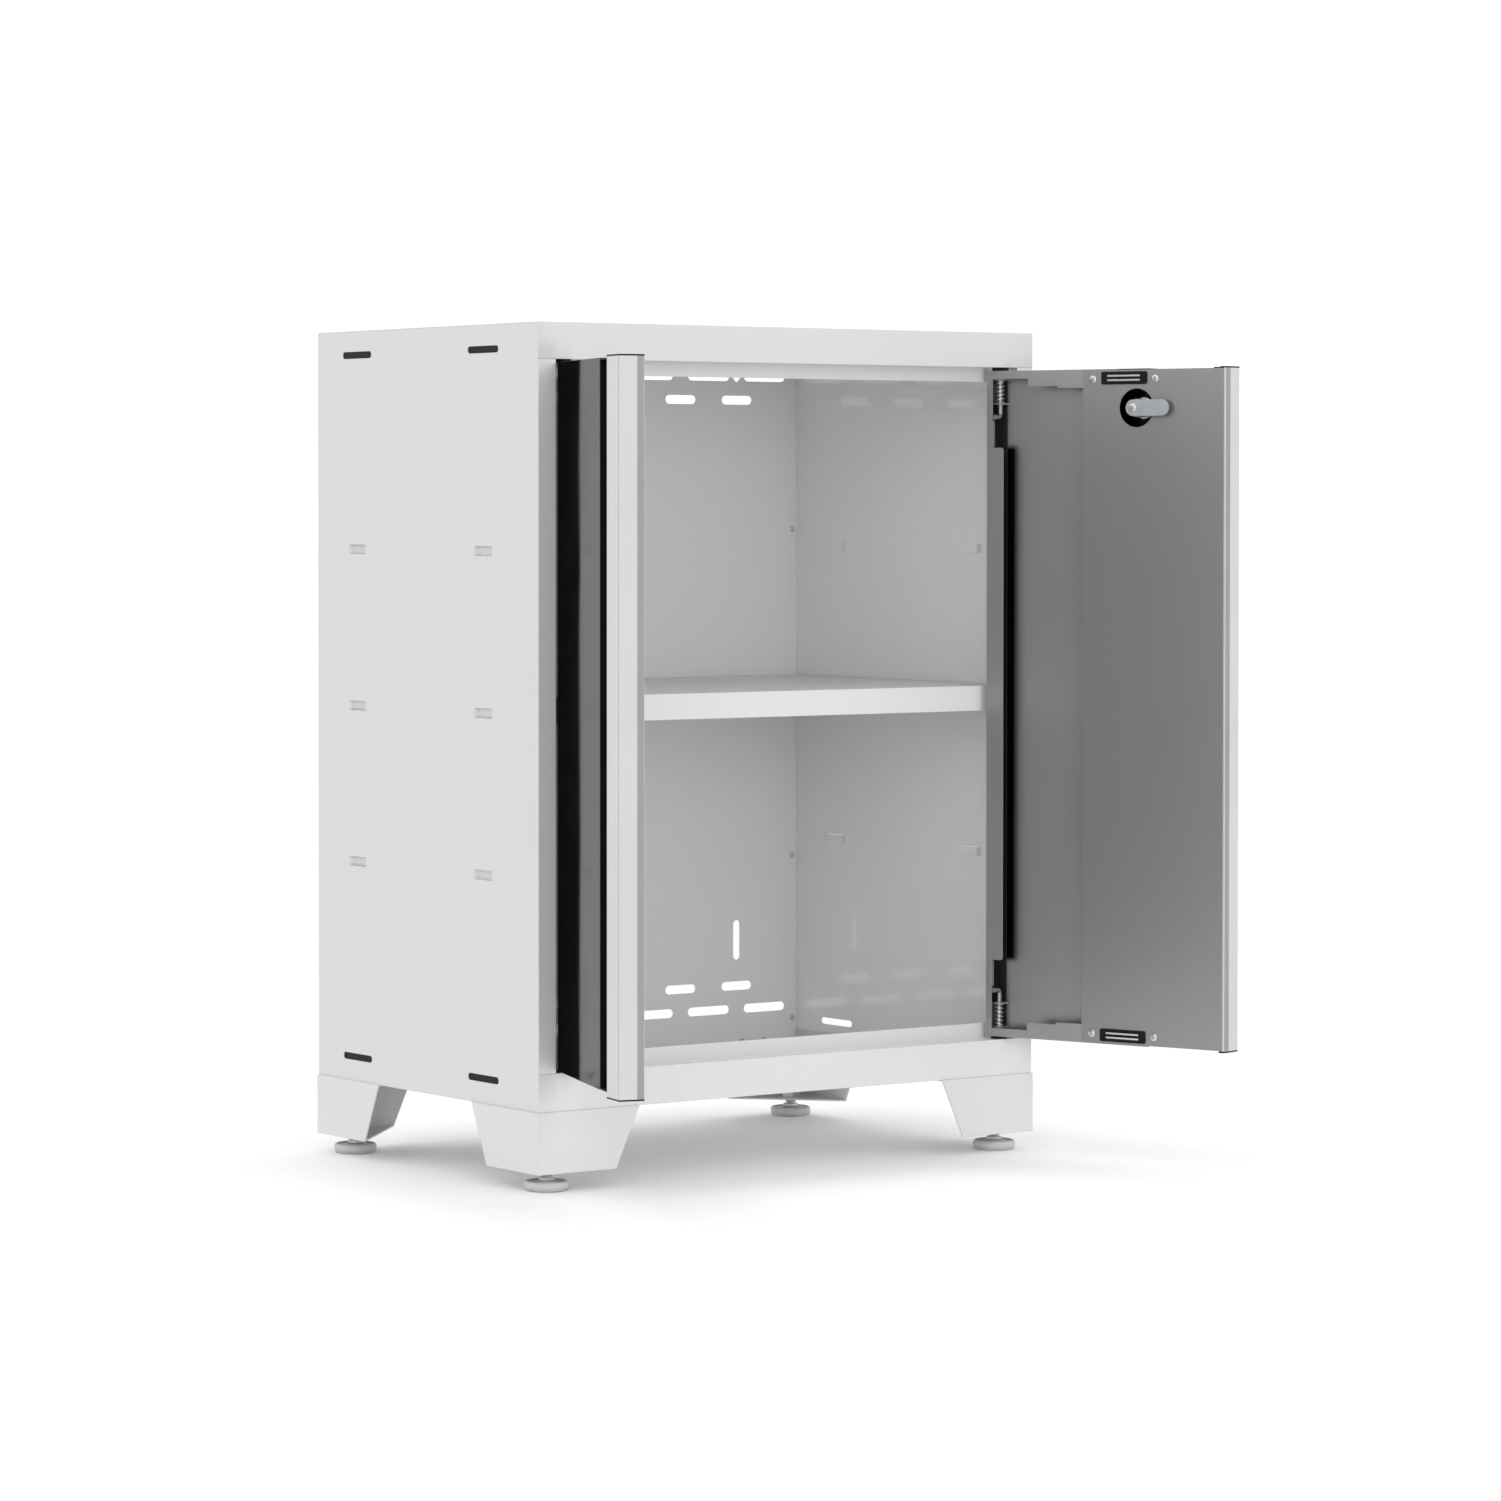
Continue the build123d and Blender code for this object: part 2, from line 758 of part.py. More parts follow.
def handle_outline():
    """Section of the handle: grip, end face and inner edge with one wall, and a fixing web."""
    wall = handle_wall
    inner_tip = (tip_corner[0] - wall, tip_corner[1] + wall)
    points = [
        grip_corner,
        tip_corner,
        end_corner,
        inner_corner,
        (inner_corner[0] - wall, inner_corner[1]),
        (end_corner[0] - wall, end_corner[1]),
        inner_tip,
        (grip_corner[0] + wall, grip_corner[1] + wall),
        (grip_corner[0] + wall, grip_corner[1] + 2 * wall),
        (grip_corner[0], grip_corner[1] + 2 * wall),
    ]
    return make_face(Polyline(*points, close=True))


def handle():
    """Full-height aluminium extrusion along the free edge."""
    body = Pos(0, 0, handle_bottom) * extrude(handle_outline(), handle_top - handle_bottom)
    web = block(
        door_length - handle_wall - handle_web_length, door_length - handle_wall, handle_web_depth,
        handle_web_depth + handle_wall, handle_bottom, handle_top,
    )
    return body + web


def handle_cap():
    """The thin dark plate that closes the lower end of the handle."""
    points = [
        grip_corner,
        tip_corner,
        end_corner,
        inner_corner,
        (inner_corner[0] - cap_inner_width, inner_corner[1]),
        (inner_corner[0] - cap_inner_width, 0),
        (grip_corner[0] + handle_wall, grip_corner[1] + 2 * handle_wall),
        (grip_corner[0], grip_corner[1] + 2 * handle_wall),
    ]
    outline = make_face(Polyline(*points, close=True))
    return Pos(0, 0, handle_bottom - cap_thickness) * extrude(outline, cap_thickness)


def catch_block(start, end, margin):
    """A block with the catch's round-cornered outline, between two depths in the door."""
    outline = Plane(origin=(catch_centre, start, catch_inset), x_dir=(1, 0, 0), z_dir=(0, 1, 0))
    length = catch_length + 2 * margin
    height = catch_height + 2 * margin
    return extrude(outline * RectangleRounded(length, height, catch_corner + margin), end - start)


def pole_block(offset, margin):
    """One steel pole plate of a catch, above or below its middle."""
    half = pole_length / 2 + margin
    level = catch_inset + offset
    reach = pole_thickness / 2 + margin
    rear = pole_face - pole_depth
    return block(catch_centre - half, catch_centre + half, rear, pole_face, level - reach, level + reach)


def catch_housing():
    """The black plastic body of the lower magnetic catch, pressed into the pan."""
    body = catch_block(door_thickness - catch_body_depth, pole_face - catch_face_step, 0)
    for offset in (-pole_spacing / 2, pole_spacing / 2):
        body -= pole_block(offset, running_clearance)
    return body


def catch_screw_places():
    """Where the screws beside a catch stand along the door."""
    return [catch_centre - catch_screw_spacing / 2, catch_centre + catch_screw_spacing / 2]


def catch_screw(u):
    """A pan-head screw in the inner sheet, with a small driver recess."""
    face = door_thickness
    level = catch_screw_inset
    crown = face + catch_screw_head_height
    screw = merge([
        rod(catch_screw_head_radius, (u, face, level), (u, crown, level)),
        rod(catch_screw_radius, (u, face - catch_screw_length, level), (u, face, level)),
    ])
    rim = screw.edges().filter_by(GeomType.CIRCLE).group_by(Axis.Y)[-1]
    screw = fillet(rim, catch_screw_head_height * 0.6)
    recess = crown - catch_screw_head_height / 2
    return screw - rod(driver_recess_radius, (u, recess, level), (u, crown, level))


# ---- spring hinge pins, drawn for the lower corner of the left door ----------------------------------------
def pin_bracket():
    """A C-shaped bracket on the hinge angle whose two arms guide the pin."""
    near, far = bracket_start, bracket_start + bracket_reach
    top = bracket_start + bracket_width
    arms = [
        block(near, far, near, top, level, level + bracket_sheet)
        for level in (upper_arm_level - bracket_sheet, lower_arm_level)
    ]
    back = block(
        near, near + bracket_sheet, near, top,
        upper_arm_level - bracket_sheet, lower_arm_level + bracket_sheet,
    )
    bracket = merge([*arms, back])
    return bracket - pin_hole(0, lower_arm_level + 2 * bracket_sheet)


def hinge_pin():
    """The sliding pin: tip in the bush, a collar for the spring, and a bent tail to pull it by."""
    at = (pivot_to_edge, pivot_depth)
    tip = -pin_engagement
    tail = (at[0], at[1] + pin_tail_reach, pin_tail_level)
    path = FilletPolyline((*at, tip), (*at, pin_tail_level), tail, radius=pin_bend_radius)
    pin = sweep(Plane((*at, tip)) * Circle(pin_radius), path=path)
    return pin + rod(collar_radius, (*at, upper_arm_level), (*at, upper_arm_level + collar_height))


def hinge_spring():
    """The coil spring between the pin's collar and the far arm of the bracket."""
    low = upper_arm_level + collar_height
    length = lower_arm_level - low
    pitch = (length - spring_wire) / spring_turns
    path = Helix(pitch, pitch * spring_turns, spring_radius - spring_wire / 2)
    section = Plane(path @ 0, z_dir=path % 0) * Circle(spring_wire / 2)
    coil = sweep(section, path=path)
    return Pos(pivot_to_edge, pivot_depth, low + spring_wire / 2) * coil


# ---- cam lock, drawn in the closed left door's place -----------------------------------------------------
def lock_rod(radius, start, end):
    """A round piece along the lock's axis."""
    return lock_hole(radius, start, end)


def lock_barrel():
    """The fixed barrel of the lock with its outer flange."""
    flange = lock_rod(barrel_flange_radius, -barrel_flange_height, 0)
    barrel = flange + lock_rod(barrel_radius, 0, barrel_length)
    return barrel - lock_rod(plug_radius + running_clearance, -barrel_flange_height, barrel_length)


def lock_nut():
    """The round nut that clamps the barrel to the skin from inside."""
    rear = door_sheet + lock_nut_height
    nut = lock_rod(lock_nut_radius, door_sheet, rear)
    return nut - lock_rod(barrel_radius + running_clearance, door_sheet, rear)


def lock_plug():
    """The turning plug with its keyway, and a spigot that the cam sits on."""
    front = -barrel_flange_height
    rear = cam_level + cam_thickness
    plug = lock_rod(plug_radius, front, cam_level) + lock_rod(plug_spigot_radius, cam_level, rear)
    level = door_height - lock_inset
    keyway = block(
        lock_centre - keyway_width / 2, lock_centre + keyway_width / 2, front, front + keyway_depth,
        level - keyway_length / 2, level + keyway_length / 2,
    )
    return plug - keyway - lock_rod(cam_screw_radius + running_clearance, rear - cam_screw_length, rear)


def lock_cam():
    """The flat cam, pointing at the free edge when the lock is open."""
    level = door_height - lock_inset
    half = cam_width / 2
    far = lock_centre + cam_reach - half
    plate = merge([
        block(lock_centre, far, cam_level, cam_level + cam_thickness, level - half, level + half),
        rod(half, (lock_centre, cam_level, level), (lock_centre, cam_level + cam_thickness, level)),
        rod(half, (far, cam_level, level), (far, cam_level + cam_thickness, level)),
    ])
    return plate - lock_rod(plug_spigot_radius + running_clearance, cam_level, cam_level + cam_thickness)


def cam_screw():
    """The screw that holds the cam on the plug."""
    face = cam_level + cam_thickness
    crown = face + cam_screw_head_height
    head = lock_rod(cam_screw_head_radius, face, crown)
    screw = head + lock_rod(cam_screw_radius, face - cam_screw_length, face)
    rim = screw.edges().filter_by(GeomType.CIRCLE).group_by(Axis.Y)[-1]
    screw = fillet(rim, cam_screw_head_height * 0.6)
    return screw - lock_rod(driver_recess_radius, crown - cam_screw_head_height / 2, crown)


# ---- writing the nodes ----------------------------------------------------------------------------------
os.makedirs("parts", exist_ok=True)

save("side_panel_left", side_panel())
save("side_panel_right", mirrored(side_panel()))
save("slot_covers_left", [slot_cover(y, z) for y, z in slot_places()])
save("back_panel", back_panel())
save("back_rivets", back_rivets())
save("top_panel", top_panel())
save("bottom_panel", bottom_panel())
save("hinge_bushes", hinge_bushes())
save("shelf", shelf())
save("leg_bolts", leg_bolts())
save("leg_nuts", leg_nuts())
save("foot_weld_nuts", list(corner_copies(weld_nut()).values()))
for corner, shape in corner_copies(leg()).items():
    save(f"leg_{corner}", shape)
for corner, shape in corner_copies(foot_pad()).items():
    save(f"foot_pad_{corner}", shape)
for corner, shape in corner_copies(foot_stud()).items():
    save(f"foot_stud_{corner}", shape)

for side in ("left", "right"):
    locked = side == "right"
    save(f"door_skin_{side}", hang(door_skin(locked), side))
    save(f"door_pan_{side}", hang(door_pan(locked), side))
    save(f"hinge_stiffener_{side}", hang(hinge_stiffener(), side))
    save(f"finger_channel_{side}", hang(finger_channel(), side))
    save(f"door_handle_{side}", hang(handle(), side))
    save(f"handle_caps_{side}", [hang(cap, side) for cap in both_ends(handle_cap())])
    save(f"catch_housings_{side}", [hang(body, side) for body in both_ends(catch_housing())])
    poles = [pole_block(offset, 0) for offset in (-pole_spacing / 2, pole_spacing / 2)]
    save(f"catch_poles_{side}", [hang(copy, side) for pole in poles for copy in both_ends(pole)])
    screws = [catch_screw(u) for u in catch_screw_places()]
    save(f"catch_screws_{side}", [hang(copy, side) for screw in screws for copy in both_ends(screw)])
    save(f"pin_brackets_{side}", [hang(bracket, side) for bracket in both_ends(pin_bracket())])
    for end, pin, spring in zip(("bottom", "top"), both_ends(hinge_pin()), both_ends(hinge_spring())):
        save(f"hinge_pin_{end}_{side}", hang(pin, side))
        save(f"hinge_spring_{end}_{side}", hang(spring, side))

save("lock_barrel", hang(lock_barrel(), "right"))
save("lock_nut", hang(lock_nut(), "right"))
save("lock_plug", hang(lock_plug(), "right"))
save("lock_cam", hang(lock_cam(), "right"))
save("lock_cam_screw", hang(cam_screw(), "right"))
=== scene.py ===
import json
from math import cos, pi, radians, sin

import bmesh
import bpy
from mathutils import Matrix, Vector


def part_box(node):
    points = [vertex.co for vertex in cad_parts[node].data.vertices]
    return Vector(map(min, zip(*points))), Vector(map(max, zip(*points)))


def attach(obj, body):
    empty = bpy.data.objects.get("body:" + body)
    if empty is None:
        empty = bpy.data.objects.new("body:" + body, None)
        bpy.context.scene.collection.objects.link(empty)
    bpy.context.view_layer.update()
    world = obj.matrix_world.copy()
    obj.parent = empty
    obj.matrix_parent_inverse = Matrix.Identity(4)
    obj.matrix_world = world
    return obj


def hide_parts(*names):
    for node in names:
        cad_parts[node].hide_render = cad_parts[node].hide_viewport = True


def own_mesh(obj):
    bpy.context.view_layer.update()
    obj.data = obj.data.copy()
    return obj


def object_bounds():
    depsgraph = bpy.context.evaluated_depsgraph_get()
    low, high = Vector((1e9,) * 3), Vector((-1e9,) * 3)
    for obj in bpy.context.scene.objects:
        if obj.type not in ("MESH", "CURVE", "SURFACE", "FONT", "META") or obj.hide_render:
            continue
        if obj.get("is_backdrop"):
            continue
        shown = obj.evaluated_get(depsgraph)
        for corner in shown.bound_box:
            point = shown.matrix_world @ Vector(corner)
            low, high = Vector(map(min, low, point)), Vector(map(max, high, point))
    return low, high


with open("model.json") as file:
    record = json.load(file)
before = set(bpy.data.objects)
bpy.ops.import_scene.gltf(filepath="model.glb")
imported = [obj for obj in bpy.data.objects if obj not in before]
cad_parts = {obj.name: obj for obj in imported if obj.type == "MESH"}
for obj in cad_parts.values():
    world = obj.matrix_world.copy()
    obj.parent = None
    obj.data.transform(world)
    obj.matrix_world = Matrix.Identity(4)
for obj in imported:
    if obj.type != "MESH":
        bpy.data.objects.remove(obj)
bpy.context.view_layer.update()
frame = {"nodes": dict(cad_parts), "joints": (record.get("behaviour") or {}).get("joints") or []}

nodes = frame["nodes"]
joints = {joint["name"]: joint for joint in frame["joints"]}
MM = 0.001

# ---- Studio: a floor of white paper that takes the cabinet's shadow near it and goes with the front left
# foot, under a white sky, with two soft lights, in front and on the left. Away from the cabinet the paper
# glows white, a painted light that an occlusion mask fades out near the cabinet. The camera is nearly
# level, to the left of the cabinet and a little below its top, with a long lens.
scene = bpy.context.scene
scene.view_settings.view_transform = "Standard"
scene.view_settings.look = "None"


def studio_sheet(name, corners, grey, roughness, shine):
    """A flat stage sheet with four corners, in a matt grey."""
    mesh = bpy.data.meshes.new(name)
    mesh.from_pydata(corners, [], [(0, 1, 2, 3)])
    sheet = bpy.data.objects.new(name, mesh)
    scene.collection.objects.link(sheet)
    material = bpy.data.materials.new(name)
    material.use_nodes = True
    shader = material.node_tree.nodes["Principled BSDF"]
    shader.inputs["Base Color"].default_value = (grey, grey, grey, 1)
    shader.inputs["Roughness"].default_value = roughness
    shader.inputs["Specular IOR Level"].default_value = shine
    mesh.materials.append(material)
    return sheet


reach = 60.0
floor_corners = [(-reach, -reach, 0), (reach, -reach, 0), (reach, reach, 0), (-reach, reach, 0)]
floor = studio_sheet("studio_floor", floor_corners, 0.93, 0.9, 0.1)
tree = floor.data.materials[0].node_tree
# Painted light: the paper glows white where the occlusion mask finds it open, and is plain paper near the
# cabinet.
occlusion = tree.nodes.new("ShaderNodeAmbientOcclusion")
occlusion.samples = 8
occlusion.inputs["Distance"].default_value = 0.22
glow_mask = tree.nodes.new("ShaderNodeMapRange")
glow_mask.interpolation_type = "SMOOTHSTEP"
glow_mask.inputs["From Min"].default_value = 0.76
glow_mask.inputs["From Max"].default_value = 0.96
glowing_paper = tree.nodes.new("ShaderNodeEmission")
glowing_paper.inputs["Strength"].default_value = 1.02
paper = tree.nodes.new("ShaderNodeMixShader")
tree.links.new(occlusion.outputs["AO"], glow_mask.inputs["Value"])
tree.links.new(glow_mask.outputs["Result"], paper.inputs[0])
tree.links.new(tree.nodes["Principled BSDF"].outputs[0], paper.inputs[1])
tree.links.new(glowing_paper.outputs[0], paper.inputs[2])
tree.links.new(paper.outputs[0], tree.nodes["Material Output"].inputs["Surface"])
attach(floor, "foot_front_left")
floor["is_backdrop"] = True

world = bpy.data.worlds.new("studio_sky")
scene.world = world
world.use_nodes = True
sky = world.node_tree.nodes["Background"]
sky.inputs["Color"].default_value = (1, 1, 1, 1)
sky.inputs["Strength"].default_value = 1.12

light_target = Vector((0, 0, 0.4))
for name, place, power in (
    ("front_light", (-0.7, -4.2, 0.9), 20),
    ("side_light", (-2.2, -2.4, 1.6), 12),
):
    lamp = bpy.data.lights.new(name, "AREA")
    lamp.shape = "DISK"
    lamp.size = 1.8
    lamp.energy = power
    light = bpy.data.objects.new(name, lamp)
    scene.collection.objects.link(light)
    light.location = place
    light.rotation_euler = (light_target - light.location).to_track_quat("-Z", "Y").to_euler()
    light.visible_glossy = False

pivot = Vector(joints["door_left_swing"]["pos_m"])
hinge_inset = 9.5
front_y = pivot.y - hinge_inset * MM
lens = bpy.data.cameras.new("camera")
lens.sensor_width = 36
lens.lens = 121.8
lens.shift_x = 0.08
lens.shift_y = -0.08
lens.clip_start = 0.1
lens.clip_end = 300
camera = bpy.data.objects.new("camera", lens)
scene.collection.objects.link(camera)
camera.location = (-3.0124, front_y - 4.0513, 0.6663)
camera.rotation_euler = (radians(88.559), 0, radians(-34.791))
scene.camera = camera

# ---- Studio flag: a narrow black card that stands edge-on to the camera beside the left stile. Only the
# polished door sees it, as a studio shades one edge of a glossy panel to make it read as black.
stile_width = 20 * MM
flag_width = 46 * MM
flag_foot = Vector((0, 0, 90 * MM))
flag_head = Vector((0, 0, 822 * MM))
near = Vector((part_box("side_panel_left")[0].x + stile_width, front_y, 0))
far = near + ((camera.location - near) * Vector((1, 1, 0))).normalized() * flag_width
flag_corners = [near + flag_foot, far + flag_foot, far + flag_head, near + flag_head]
flag = studio_sheet("studio_flag", flag_corners, 0.002, 1.0, 0.0)
flag.visible_camera = False
flag.visible_diffuse = False
flag.visible_shadow = False
flag.visible_transmission = False
flag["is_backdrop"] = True

# ---- Carcass: top, floor and side panels folded from 1 mm steel sheet and welded, then powder coated
# off-white. The coat is satin with a fine orange-peel skin, with a painted highlight on the folds. Inside,
# the side walls are glossier and mirror the slots of the back faintly. The faces inside and the front
# stiles take lighter copies of the coat: painted light that lifts the shade there.


def new_finish(name):
    """A new material, its node tree and the position on the piece."""
    material = bpy.data.materials.new(name)
    material.use_nodes = True
    tree = material.node_tree
    return material, tree, tree.nodes.new("ShaderNodeTexCoord").outputs["Object"]


def noise(tree, position, scale, detail=2):
    """A cloudy noise over a position."""
    texture = tree.nodes.new("ShaderNodeTexNoise")
    texture.inputs["Scale"].default_value = scale
    texture.inputs["Detail"].default_value = detail
    tree.links.new(position, texture.inputs["Vector"])
    return texture


def between(tree, driver, first, second):
    """A colour that runs from one, which may be a socket, to another as the driver runs from 0 to 1."""
    mix = tree.nodes.new("ShaderNodeMix")
    mix.data_type = "RGBA"
    if isinstance(first, bpy.types.NodeSocket):
        tree.links.new(first, mix.inputs["A"])
    else:
        mix.inputs["A"].default_value = (*first, 1)
    mix.inputs["B"].default_value = (*second, 1)
    tree.links.new(driver, mix.inputs["Factor"])
    return mix.outputs["Result"]


def shade(rgb, factor):
    """A colour made darker or lighter, up to white."""
    return [min(1, c * factor) for c in rgb]


def vary_gloss(tree, driver, low, high):
    """Lets the roughness run from low to high with a socket."""
    gloss = tree.nodes.new("ShaderNodeMapRange")
    gloss.inputs["To Min"].default_value = low
    gloss.inputs["To Max"].default_value = high
    tree.links.new(driver, gloss.inputs["Value"])
    tree.links.new(gloss.outputs[0], tree.nodes["Principled BSDF"].inputs["Roughness"])


def soft_edges(tree, radius):
    """The surface direction with every edge and fold eased by a radius in millimetres."""
    bevel = tree.nodes.new("ShaderNodeBevel")
    bevel.samples = 4
    bevel.inputs["Radius"].default_value = radius * MM
    return bevel.outputs["Normal"]


def relief(tree, height, strength, depth, direction=None):
    """Fine relief of a depth in millimetres, over a surface direction."""
    bump = tree.nodes.new("ShaderNodeBump")
    bump.inputs["Strength"].default_value = strength
    bump.inputs["Distance"].default_value = depth * MM
    tree.links.new(height, bump.inputs["Height"])
    if direction is not None:
        tree.links.new(direction, bump.inputs["Normal"])
    tree.links.new(bump.outputs["Normal"], tree.nodes["Principled BSDF"].inputs["Normal"])


def coated_metal(
    name, rgb, roughness, skin=0.35, mottle=0.03, edge_light=0.12, fold=0.7, coat=0.0, coat_roughness=0.12
):
    """A powder-coated sheet: fine skin bump, slow colour and gloss changes, and softened folds with a painted
    highlight.
    """
    material, tree, place = new_finish(name)
    shader = tree.nodes["Principled BSDF"]
    link = tree.links.new
    cloud = noise(tree, place, 5.5, 3).outputs["Fac"]
    speck = noise(tree, place, 1400).outputs["Fac"]
    peel = noise(tree, place, 420, 3).outputs["Fac"]
    slow = tree.nodes.new("ShaderNodeMath")
    slow.operation = "MULTIPLY"
    slow.inputs[1].default_value = 0.7
    link(cloud, slow.inputs[0])
    both = tree.nodes.new("ShaderNodeMath")
    both.operation = "MULTIPLY_ADD"
    both.inputs[1].default_value = 0.3
    link(speck, both.inputs[0])
    link(slow.outputs[0], both.inputs[2])
    body = between(tree, both.outputs[0], shade(rgb, 1 - mottle), shade(rgb, 1 + mottle))
    eased = soft_edges(tree, fold)
    turn = tree.nodes.new("ShaderNodeVectorMath")
    turn.operation = "DOT_PRODUCT"
    link(eased, turn.inputs[0])
    link(tree.nodes.new("ShaderNodeNewGeometry").outputs["Normal"], turn.inputs[1])
    # Painted highlight: the colour lightens by edge_light where the eased surface turns from the flat face,
    # on every fold and edge.
    edge = tree.nodes.new("ShaderNodeMapRange")
    edge.inputs["From Min"].default_value = 0.985
    edge.inputs["From Max"].default_value = 0.80
    link(turn.outputs["Value"], edge.inputs["Value"])
    painted_fold_highlight = between(tree, edge.outputs[0], body, shade(rgb, 1 + edge_light))
    link(painted_fold_highlight, shader.inputs["Base Color"])
    vary_gloss(tree, cloud, roughness - 0.05, roughness + 0.07)
    relief(tree, peel, skin, 0.06, eased)
    shader.inputs["Coat Weight"].default_value = coat
    shader.inputs["Coat Roughness"].default_value = coat_roughness
    return material


def dress(node, material):
    """Gives a carried-over solid its finish."""
    mesh = nodes[node].data
    mesh.materials.clear()
    mesh.materials.append(material)


def line_broad(node, direction, material):
    """Gives the broad face that looks along a direction, and what stands proud of it, their own finish."""
    mesh = nodes[node].data
    mesh.materials.append(material)
    facing = [polygon for polygon in mesh.polygons if polygon.normal.dot(direction) > 0.99]
    areas = {}
    for polygon in facing:
        level = round(polygon.center.dot(direction), 4)
        areas[level] = areas.get(level, 0) + polygon.area
    broad = max(areas, key=areas.get)
    for polygon in facing:
        if polygon.center.dot(direction) > broad - 0.0001:
            polygon.material_index = len(mesh.materials) - 1


white = coated_metal("off_white_powder_coat", (0.61, 0.61, 0.605), 0.42)
# A lighter copy of the coat for the front stiles: painted light that lifts the shade on them.
front_lightened_coat = coated_metal("front_coat", (0.76, 0.76, 0.755), 0.42)
for name in ("side_panel_left", "side_panel_right", "top_panel"):
    dress(name, white)
dress("bottom_panel", coated_metal("bottom_coat", (0.655, 0.655, 0.65), 0.42))
# Lighter copies of the coat for the faces inside: painted light that lifts the shade inside the cabinet.
inner_lightened_coat = coated_metal("inner_coat", (0.88, 0.88, 0.875), 0.30, skin=0.3, coat=0.2)
inner_wall_lightened_coat = coated_metal(
    "inner_wall_coat", (0.83, 0.83, 0.825), 0.3, skin=0.12, mottle=0.015, coat=1.0, coat_roughness=0.01
)
line_broad("side_panel_left", Vector((1, 0, 0)), inner_wall_lightened_coat)
line_broad("side_panel_right", Vector((-1, 0, 0)), inner_wall_lightened_coat)
line_broad("side_panel_left", Vector((0, -1, 0)), front_lightened_coat)
line_broad("side_panel_right", Vector((0, -1, 0)), front_lightened_coat)
line_broad("top_panel", Vector((0, 0, -1)), inner_lightened_coat)
line_broad("bottom_panel", Vector((0, 0, 1)), inner_lightened_coat)

# ---- Back panel: one flat steel sheet with rows of punched slots, riveted to the rear flanges. It has the
# same coat, a little rougher inside the cabinet where the spray reached it at an angle, in a lighter copy:
# painted light that lifts the shade inside the cabinet.
back_lightened_coat = coated_metal("back_panel_coat", (0.79, 0.79, 0.785), 0.36, skin=0.5, mottle=0.02)
dress("back_panel", back_lightened_coat)

# ---- Rivets: blind steel rivets with domed heads, bare zinc-plated. They are set from behind through the
# back and the rear flanges of the side panels, five a side.


def drawn_lines(tree, place, scale, detail):
    """A noise stretched into lines, with many across the piece and few along it."""
    stretch = tree.nodes.new("ShaderNodeMapping")
    stretch.inputs["Scale"].default_value = scale
    tree.links.new(place, stretch.inputs["Vector"])
    return noise(tree, stretch.outputs["Vector"], 1, detail)


def plated_steel(name, rgb, roughness, streak=0.5):
    """Zinc-plated or plain bright steel: metallic, with fine drawn streaks and cloudy gloss."""
    material, tree, place = new_finish(name)
    shader = tree.nodes["Principled BSDF"]
    streaks = drawn_lines(tree, place, (900, 900, 120), 2).outputs["Fac"]
    cloud = noise(tree, place, 160, 4).outputs["Fac"]
    tone = between(tree, cloud, shade(rgb, 0.88), shade(rgb, 1.08))
    tree.links.new(tone, shader.inputs["Base Color"])
    vary_gloss(tree, cloud, roughness - 0.08, roughness + 0.1)
    relief(tree, streaks, streak, 0.03, soft_edges(tree, 0.25))
    shader.inputs["Metallic"].default_value = 1.0
    return material


zinc = plated_steel("bright_zinc_plate", (0.66, 0.67, 0.69), 0.3)


def make_piece(name, bm, body, material, smooth_angle=35):
    """Turns a finished bmesh into an object that rides on a body."""
    bmesh.ops.recalc_face_normals(bm, faces=bm.faces)
    mesh = bpy.data.meshes.new(name)
    bm.to_mesh(mesh)
    bm.free()
    mesh.shade_smooth()
    mesh.set_sharp_from_angle(angle=radians(smooth_angle))
    mesh.materials.append(material)
    piece = bpy.data.objects.new(name, mesh)
    scene.collection.objects.link(piece)
    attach(piece, body)
    return piece


def turned(bm, profile, centre, axis=Vector((0, 0, 1)), steps=40):
    """Adds a turned shape: (radius, height) pairs from axis to axis, spun about an axis through centre."""
    turn = axis.to_track_quat("Z", "Y").to_matrix().to_4x4()
    turn.translation = centre
    points = [bm.verts.new(turn @ Vector((r * MM, 0, h * MM))) for r, h in profile]
    edges = [bm.edges.new(pair) for pair in zip(points, points[1:])]
    bmesh.ops.spin(
        bm, geom=points + edges, cent=centre, axis=axis, angle=2 * pi, steps=steps, use_merge=True
    )
    bmesh.ops.remove_doubles(bm, verts=bm.verts, dist=0.000002)


rivet_rows = 5
rivet_head = 3.2 * MM
outer_head = [
    (0, 0.0), (1.5, 0.0), (1.6, 1.0), (3.0, 1.05), (3.2, 1.2), (3.1, 1.45), (2.4, 1.8), (1.2, 2.0),
    (1.0, 1.6), (0, 1.6),
]
inner_head = [(0, 0.0), (1.5, 0.0), (1.6, 0.0), (3.0, 0.0), (3.1, 0.2), (2.6, 0.75), (1.6, 1.0), (0, 1.0)]
low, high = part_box("back_rivets")
bm = bmesh.new()
for x in (low.x + rivet_head, high.x - rivet_head):
    for n in range(rivet_rows):
        z = low.z + rivet_head + (high.z - low.z - 2 * rivet_head) * n / (rivet_rows - 1)
        turned(bm, outer_head, Vector((x, high.y - 2.0 * MM, z)), Vector((0, 1, 0)), 28)
        turned(bm, inner_head, Vector((x, low.y + 1.0 * MM, z)), Vector((0, -1, 0)), 28)
rivets = make_piece("rear_rivets", bm, "carcass", zinc, 50)
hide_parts("back_rivets")

# ---- Shelf: one steel sheet folded with deep lips at the front and rear, in a lighter copy of the
# off-white coat: painted light that lifts the shade inside the cabinet.
# It isn't fastened. It lies on the middle tabs of the side panels and lifts out.
shelf_lightened_coat = coated_metal("shelf_coat", (0.70, 0.70, 0.695), 0.38, skin=0.4, fold=1.0)
dress("shelf", shelf_lightened_coat)

